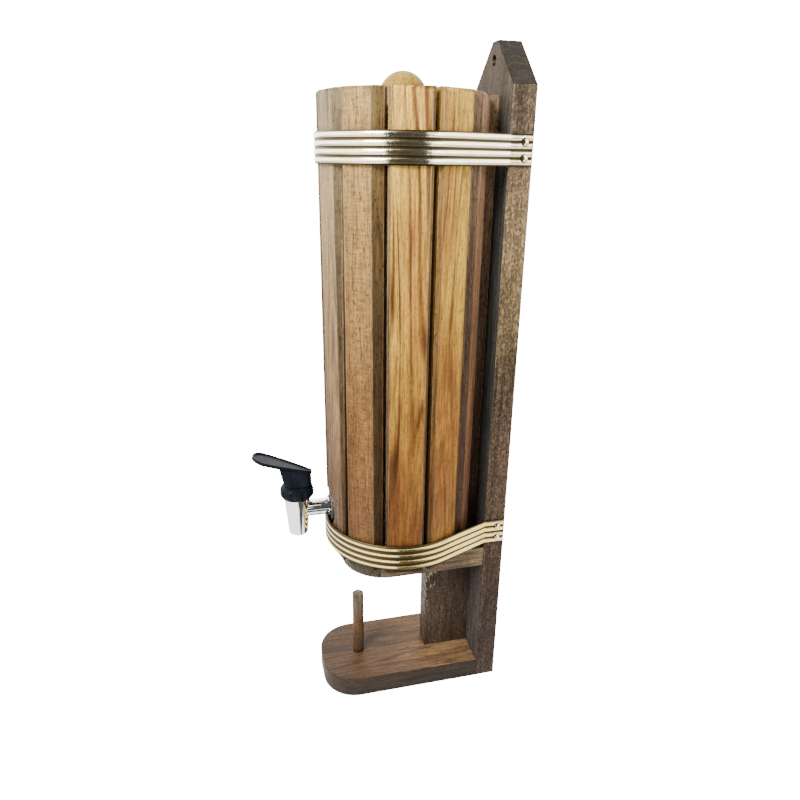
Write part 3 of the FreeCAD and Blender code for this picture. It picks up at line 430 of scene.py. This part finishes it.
for order, (place, (tones, streaks, specks, saw, foot, crown)) in enumerate(STAVE_TONES.items()):
    seed = 31.0 + 5.3 * order
    oak = timber("oak_" + place, *tones, seed, streaks=streaks, specks=specks, saw=saw,
                 fade=own_fade(foot, crown))
    # The edges' finish: scorched wood with painted shade in the gaps between staves.
    edge = timber("edge_" + place, *tones, seed, streaks=0.5, specks=0.6, fade=EDGE_SCORCH_AND_SHADE)
    low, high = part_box("stave_" + place)
    outward = Vector(((low.x + high.x) / 2, (low.y + high.y) / 2)).normalized()
    ease_edges("stave_" + place, 0.0006, oak, edge, end_grain, rubbed_highlit_oak, choose=facing(outward), rubbed_highlit=3)

# Heads, tank and lid: two round oak lids close the ring of staves. Between them stands the
# plastic drum that holds the drink, with its lid and filling neck welded on.


def dress(finish, *names):
    """Give solids of the frame their finish."""
    for name in names:
        solids[name].data.materials.clear()
        solids[name].data.materials.append(finish)


def mottled(name, rough, metal, scale, first, second):
    """Two near tones in soft patches."""
    material, tree, shader = new_finish(name, rough, metal)
    haze = cloud(tree, stretched(tree), scale, 3)
    tree.links.new(paint(tree, haze, first, second), shader.inputs["Base Color"])
    return material


dress(timber("oak_heads", *HONEY, 97.0, along="X", streaks=0.6, specks=0.4), "top_head", "bottom_head")
tank_plastic = mottled("milky_plastic", 0.35, 0.0, 60, (0.78, 0.78, 0.72), (0.68, 0.68, 0.62))
shader = principled(tank_plastic)[1]
shader.inputs["Subsurface Weight"].default_value = 0.2
shader.inputs["Subsurface Radius"].default_value = (0.002, 0.002, 0.002)
dress(tank_plastic, "inner_tank", "tank_lid")

# Hoops: strips of thin brass sheet rolled with four round beads. Each goes round the staves,
# runs straight to the board, bends at its corner and is nailed to its side.

BEADS = 4
BEAD_PITCH = 0.005  # from one bead to the next
BEAD_STEPS = 8
BEAD_HALF = 0.42  # half a bead's width, as a share of the pitch
BEAD_UP = 0.0009
SHEET = 0.0009  # thickness
HOOP_STEPS = 60
BEND_STEPS = 4
HOOP_WELD = 2e-6
HOOP_CREASE = math.radians(50)
NAIL_Y = 0.073
NAIL_STEP = 0.01  # from one nail up to the next
# Dark of the nail rings and the grooves: tarnish, and in the grooves also a painted reflection of dark
# surroundings.
TARNISH_AND_REFLECTION = (0.045, 0.032, 0.015)
GROOVE_SIDE = 0.0014  # half width of the dark in a groove, tarnish and painted reflection, at the sides
GROOVE_EDGE = 0.0008  # width over which it fades


def brass(name, foot=None, front_groove=0.0015, pale=(0.97, 0.88, 0.64), deep=(0.92, 0.74, 0.40)):
    """Polished brass sheet. It is tarnished round the nails, and its grooves are darkened, most at the front,
    with tarnish and a painted dark reflection.
    """
    material, tree, shader = new_finish(name, 0.16, 1.0)
    smudge = cloud(tree, stretched(tree), 90, 4)
    fine = cloud(tree, stretched(tree, (1, 1, 3)), 1500)
    tint = paint(tree, between(tree, smudge, 0.35, 0.7), pale, deep)
    wear = work_out(tree, "MULTIPLY_ADD", smudge, 0.16, 0.05)
    if foot is not None:
        place = own_axes(tree)
        rise = less(tree, place["Z"], foot)
        beside = less(tree, place["Y"], NAIL_Y)
        above = less(tree, work_out(tree, "PINGPONG", rise, NAIL_STEP), NAIL_STEP / 2)
        offset = add(tree, "CombineXYZ", {0: beside, 1: above}).outputs[0]
        reach = add(tree, "VectorMath", {0: offset}, operation="LENGTH").outputs["Value"]
        ring = times(tree, between(tree, reach, 0.0031, 0.0026), between(tree, reach, 0.0016, 0.0020))
        # The grooves' dark, widest at the front: tarnish and painted reflection.
        wide = rescale(tree, place["Y"], GROOVE_SIDE, front_groove, 0.035, 0.0)
        hollow = work_out(tree, "PINGPONG", rise, BEAD_PITCH / 2)
        groove = between(tree, hollow, wide, less(tree, wide, GROOVE_EDGE))
        groove = work_out(tree, "MAXIMUM", groove, ring)
        tint = paint(tree, groove, tint, TARNISH_AND_REFLECTION)
        wear = work_out(tree, "MAXIMUM", wear, times(tree, groove, 0.45))
    tree.links.new(tint, shader.inputs["Base Color"])
    tree.links.new(wear, shader.inputs["Roughness"])
    dents = work_out(tree, "ADD", times(tree, smudge, 2.0), times(tree, fine, 0.05))
    raise_grain(tree, shader, dents, 0.0002)
    return material


def bead_outline(radius, foot, tall):
    """Section of a hoop: a flat inner side and a row of round beads outside, as radius and height."""
    outline = [(radius, foot), (radius + SHEET, foot)]
    for bead in range(BEADS):
        for step in range(1, BEAD_STEPS):
            turn = math.pi * step / BEAD_STEPS
            rise = bead + 0.5 - BEAD_HALF * math.cos(turn)
            outline.append((radius + SHEET + BEAD_UP * math.sin(turn), foot + tall * rise / BEADS))
    return outline + [(radius + SHEET, foot + tall), (radius, foot + tall)]


def open_end(geometry):
    """The points of a new end, and the edges that join two of them."""
    points = [item for item in geometry if isinstance(item, bmesh.types.BMVert)]
    joined = set(points)
    rim = [item for item in geometry if isinstance(item, bmesh.types.BMEdge)
           and joined.issuperset(item.verts)]
    return points, rim


def roll_hoop(name, finish):
    """Draw the beaded section at the front, carry it round one side to the board, and mirror it."""
    low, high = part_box(name)
    corner = Vector((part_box("back_board")[1].x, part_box("back_board")[0].y))
    radius = high.x - BEAD_UP - SHEET
    hoop = bmesh.new()
    points = [hoop.verts.new((0, -out, up)) for out, up in bead_outline(radius, low.z, high.z - low.z)]
    rim = [hoop.edges.new(pair) for pair in zip(points, points[1:] + points[:1])]

    def swing(points, rim, centre, angle, steps):
        """Carry the open end round an upright axis."""
        made = bmesh.ops.spin(hoop, geom=points + rim, cent=(centre.x, centre.y, 0), axis=(0, 0, 1),
                              angle=angle, steps=steps, use_merge=False)
        return open_end(made["geom_last"])

    def draw_on(rim, path):
        """Draw the open end along a straight path."""
        made = bmesh.ops.extrude_edge_only(hoop, edges=rim)
        points, rim = open_end(made["geom"])
        bmesh.ops.translate(hoop, verts=points, vec=(path.x, path.y, 0))
        return points, rim

    touch = math.atan2(corner.x, corner.y) + math.acos(radius / corner.length)
    leave = Vector((radius * math.sin(touch), radius * math.cos(touch)))
    run = corner - leave
    bend = math.atan2(-run.x, run.y)
    points, rim = swing(points, rim, Vector((0, 0)), math.pi - touch, HOOP_STEPS)
    points, rim = draw_on(rim, run)
    points, rim = swing(points, rim, corner, -bend, BEND_STEPS)
    points, rim = draw_on(rim, Vector((0, high.y - corner.y)))
    bmesh.ops.edgeloop_fill(hoop, edges=rim)
    everything = hoop.verts[:] + hoop.edges[:] + hoop.faces[:]
    bmesh.ops.mirror(hoop, geom=everything, axis="X", merge_dist=1e-5)
    bmesh.ops.remove_doubles(hoop, verts=hoop.verts, dist=HOOP_WELD)
    bmesh.ops.recalc_face_normals(hoop, faces=hoop.faces)
    for face in hoop.faces:
        face.smooth = True
    mesh = bpy.data.meshes.new(name + "_sheet")
    hoop.to_mesh(mesh)
    hoop.free()
    mesh.set_sharp_from_angle(angle=HOOP_CREASE)
    mesh.materials.append(finish)
    settle(bpy.data.objects.new(name + "_sheet", mesh), name)


roll_hoop("upper_hoop", brass("upper_brass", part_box("upper_hoop")[0].z))
roll_hoop("lower_hoop", brass("lower_brass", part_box("lower_hoop")[0].z, front_groove=0.0021,
                              pale=(0.97, 0.77, 0.27), deep=(0.90, 0.64, 0.17)))
dress(brass("nail_brass"), "hoop_nails")

# Screws: plain countersunk steel wood screws, from the rear of the board and inside the stand.
# The tap's two cross pins and its valve stem are turned from the same bright steel.

bright_steel = mottled("bright_steel", 0.3, 1.0, 400, (0.62, 0.60, 0.55), (0.42, 0.40, 0.36))
dress(bright_steel, "board_screws", "cask_screws", "post_screws", "pivot_pin", "lift_pin", "valve_stem")

# Return spring: a coil of steel wire round the valve stem. Its top stays under the bonnet and its
# foot rides on the stem's flange.

mesh = solids["return_spring"].data.copy()
mesh.name = "spring_coil"
mesh.materials.clear()
mesh.materials.append(bright_steel)
spring = bpy.data.objects.new("spring_coil", mesh)
bpy.context.collection.objects.link(spring)
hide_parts("return_spring")
low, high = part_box("return_spring")
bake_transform(spring)

# Stopper: a turned pine knob with two rubber rings on its plug, pushed into the filling neck.
# The tap's seals and its washers are of the same black rubber.

pine = timber("pine_knob", (0.50, 0.33, 0.055), (0.42, 0.26, 0.042), (0.28, 0.15, 0.025), 61.0, along="X",
              streaks=0.6, specks=0.2, tight=14)
ease_edges("stopper", 0.0003, pine)
dress(mottled("black_rubber", 0.7, 0.0, 500, (0.012, 0.012, 0.013), (0.03, 0.03, 0.03)),
      "stopper_rings", "bonnet_seal", "valve_washer", "outer_washer", "inner_washer")

# Tap body: moulded plastic with bright chrome plating, a tapering barrel on a level pipe.
# Its pipe passes through the cask wall and is held by a nut inside.

chrome, tree, shader = new_finish("chrome_plating", 0.06, 1.0)
ripple = cloud(tree, stretched(tree, (1, 1, 0.4)), 130)
fog = cloud(tree, stretched(tree), 300, 3)
tree.links.new(paint(tree, fog, (0.93, 0.93, 0.92), (0.85, 0.85, 0.85)), shader.inputs["Base Color"])
tree.links.new(rescale(tree, fog, 0.02, 0.16), shader.inputs["Roughness"])
raise_grain(tree, shader, ripple, 0.00025)
dress(chrome, "lock_nut")
ease_edges("tap_body", 0.0003, chrome)

# Bonnet and lever: black moulded plastic. The bonnet is screwed on the barrel by its scalloped
# skirt, and the lever turns on a cross pin above it, with a dished paddle for the finger.

satin_black, tree, shader = new_finish("satin_black", 0.4)
shader.inputs["Specular IOR Level"].default_value = 0.022
pebble = cloud(tree, stretched(tree), 1600)
bloom = cloud(tree, stretched(tree), 120, 3)
dusty = between(tree, bloom, 0.35, 0.7)
tree.links.new(paint(tree, dusty, (0.006, 0.0075, 0.0105), (0.011, 0.013, 0.018)),
               shader.inputs["Base Color"])
tree.links.new(rescale(tree, bloom, 0.2, 0.42), shader.inputs["Roughness"])
raise_grain(tree, shader, pebble, 0.00006)
ease_edges("tap_bonnet", 0.0003, satin_black)
ease_edges("tap_lever", 0.0005, satin_black, steps=3)

# Surroundings: a white floor and a white room. The camera sees both as pure white, the matte
# surfaces get a weak even light from them, and the metal mirrors them, with a dark gap in front.

VIEW_TURN = math.radians(75.810)
CAMERA_GLOW = 18.0  # strength that the camera sees
FLOOR_SHINE = 1.0  # strength of the floor in reflections
ROOM_SHINE = 5.4  # strength of the room in reflections
ROOM_LIGHT = 0.42  # strength on matte surfaces
GAP_MIDDLE = 0.13  # how far the dark gap lies to the side

sideways = Vector((math.cos(VIEW_TURN), math.sin(VIEW_TURN), 0))
away = Vector((math.sin(VIEW_TURN), -math.cos(VIEW_TURN), 0))


def light_path(tree, kind):
    """1 for rays of a kind and 0 for others."""
    return add(tree, "LightPath").outputs[kind]


bpy.ops.mesh.primitive_plane_add(size=8, location=(0, 0, 0))
floor = bpy.context.object
floor.name = "floor"
white, tree, shader = new_finish("white_floor", 0.9)
shader.inputs["Base Color"].default_value = (0.86, 0.86, 0.86, 1)
shader.inputs["Emission Color"].default_value = (1, 1, 1, 1)
glow = times(tree, light_path(tree, "Is Camera Ray"), CAMERA_GLOW)
shine = times(tree, light_path(tree, "Is Glossy Ray"), FLOOR_SHINE)
tree.links.new(work_out(tree, "ADD", glow, shine), shader.inputs["Emission Strength"])
floor.data.materials.append(white)

world = bpy.data.worlds.new("studio")
bpy.context.scene.world = world
world.use_nodes = True
tree = world.node_tree
ray = add(tree, "TexCoord").outputs["Generated"]
across_view = add(tree, "VectorMath", {0: ray, 1: sideways}, operation="DOT_PRODUCT").outputs["Value"]
toward_view = add(tree, "VectorMath", {0: ray, 1: away}, operation="DOT_PRODUCT").outputs["Value"]
beside = work_out(tree, "ABSOLUTE", less(tree, across_view, GAP_MIDDLE))
clear = work_out(tree, "MAXIMUM", between(tree, beside, 0.44, 0.6), between(tree, toward_view, 0.0, -0.15))
glow = times(tree, light_path(tree, "Is Camera Ray"), CAMERA_GLOW)
shine = times(tree, light_path(tree, "Is Glossy Ray"), times(tree, clear, ROOM_SHINE))
matte = times(tree, less(tree, 1.0, light_path(tree, "Is Glossy Ray")), ROOM_LIGHT)
strength = work_out(tree, "ADD", work_out(tree, "ADD", glow, shine), matte)
tree.links.new(strength, tree.nodes["Background"].inputs["Strength"])
tree.nodes["Background"].inputs["Color"].default_value = (1, 1, 1, 1)

# Lights: a large soft lamp at the front right, high up, and a weak one at the rear right that
# lifts the side of the board.


def soft_light(name, place, aim, size, power):
    """A square lamp at a place, turned to shine at a point."""
    lamp = bpy.data.lights.new(name, "AREA")
    lamp.size = size
    lamp.energy = power
    item = bpy.data.objects.new(name, lamp)
    item.location = place
    item.rotation_euler = (Vector(aim) - Vector(place)).to_track_quat("-Z", "Y").to_euler()
    bpy.context.collection.objects.link(item)


soft_light("key", (0.75, -0.95, 1.25), (0, 0, 0.3), 0.6, 48)
soft_light("side", (1.3, 0.5, 0.9), (0, 0, 0.25), 0.8, 7)

# Camera: half a metre away at the right, a little to the front and looking down, where the
# edges of the board, the base and the hoops say that it stood.

VIEW_TILT = math.radians(20.217)
VIEW_ROLL = math.radians(0.778)
EYE = Vector((0.46405, -0.11650, 0.42577))
FOCAL_PIXELS = 657.11
PICTURE_PIXELS = 800
SENSOR = 36

forward = Vector((-math.sin(VIEW_TURN) * math.cos(VIEW_TILT), math.cos(VIEW_TURN) * math.cos(VIEW_TILT),
                  -math.sin(VIEW_TILT)))
up = sideways.cross(forward)
right = sideways * math.cos(VIEW_ROLL) + up * math.sin(VIEW_ROLL)
top = -sideways * math.sin(VIEW_ROLL) + up * math.cos(VIEW_ROLL)
lens = bpy.data.cameras.new("camera")
lens.sensor_width = SENSOR
lens.lens = SENSOR * FOCAL_PIXELS / PICTURE_PIXELS
lens.clip_start = 0.01
camera = bpy.data.objects.new("camera", lens)
camera.matrix_world = Matrix((
    (right.x, top.x, -forward.x, EYE.x),
    (right.y, top.y, -forward.y, EYE.y),
    (right.z, top.z, -forward.z, EYE.z),
    (0, 0, 0, 1)))
bpy.context.collection.objects.link(camera)
bpy.context.scene.camera = camera

# Dark cards: three dull boards in front of the object that show only in reflections, as a
# photographer sets them up to give polished brass and chrome their form. They are clear from behind.

dull, tree, shader = new_finish("dull_card", 0.9)
shader.inputs["Base Color"].default_value = (0.012, 0.011, 0.010, 1)
clear_side = add(tree, "MixShader", {0: add(tree, "NewGeometry").outputs["Backfacing"],
                                     1: shader.outputs[0], 2: add(tree, "BsdfTransparent").outputs[0]})
tree.links.new(clear_side.outputs[0], tree.nodes["Material Output"].inputs["Surface"])


def dark_card(name, out, beside, high, wide, tall, tilt=0.0):
    """Card at a distance out toward the camera, to the side and up, tilted from level."""
    middle = out * away + beside * sideways + Vector((0, 0, high))
    bpy.ops.mesh.primitive_plane_add(size=1, location=middle, rotation=(tilt, 0, VIEW_TURN))
    card = bpy.context.object
    card.name = name
    card.scale = (wide, tall, 1)
    card.data.materials.append(dull)
    card.visible_camera = False
    card.visible_diffuse = False
    card.visible_shadow = False


dark_card("low_card", 0.34, 0.04, 0.225, 0.34, 0.56)
dark_card("floor_card", 0.30, 0.085, 0.001, 0.16, 0.34)
dark_card("far_card", 0.62, 0.1, 0.70, 0.64, 1.4, math.radians(-90))
